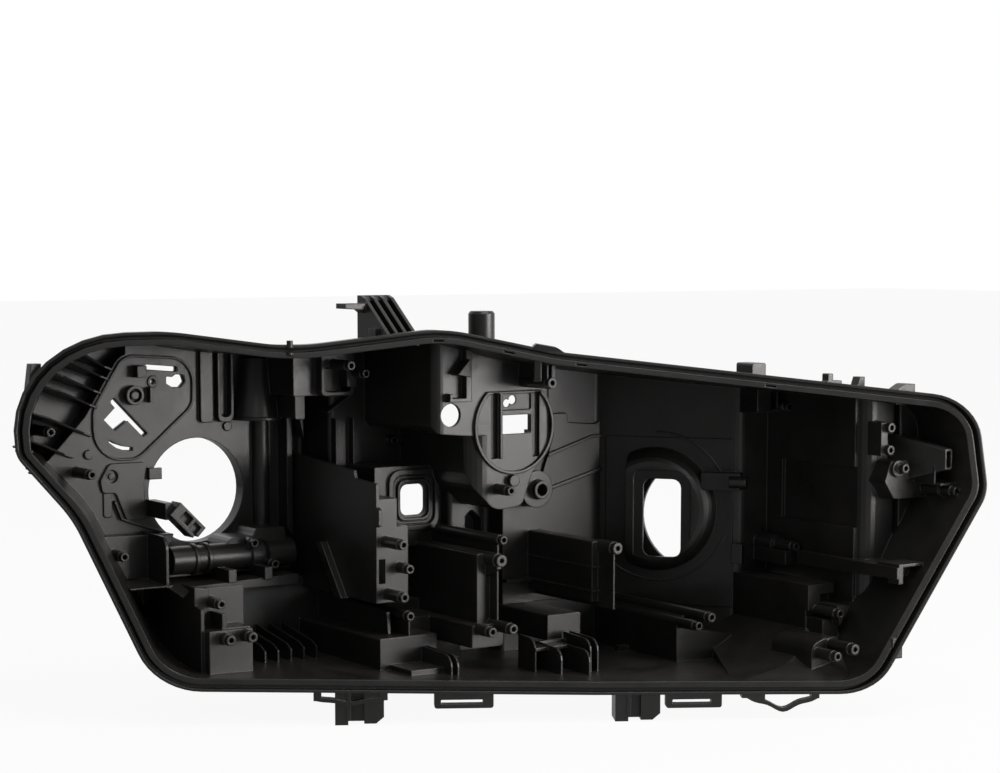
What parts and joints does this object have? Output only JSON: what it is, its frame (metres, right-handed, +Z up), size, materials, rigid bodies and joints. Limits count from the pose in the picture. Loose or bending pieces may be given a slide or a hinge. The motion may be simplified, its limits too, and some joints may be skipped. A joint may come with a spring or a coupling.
{
  "type": "headlamp back housing",
  "caption": "Deep injection moulded back housing of a vehicle headlamp, with a glue rim, a round service opening, screw bosses and fixing lugs.",
  "frame": {"origin": "centre of the round service opening, on the inner face of the wall that it goes through", "axes": "+Y is the mould's draw, from the open lens side into the housing; +Z is up; +X runs across the car towards its middle"},
  "size_m": [0.6394, 0.4206, 0.322],
  "materials": {
    "black_plastic": "fine-grained black moulded plastic"
  },
  "bodies": {
    "root": {"housing": "black_plastic"}
  },
  "joints": []
}
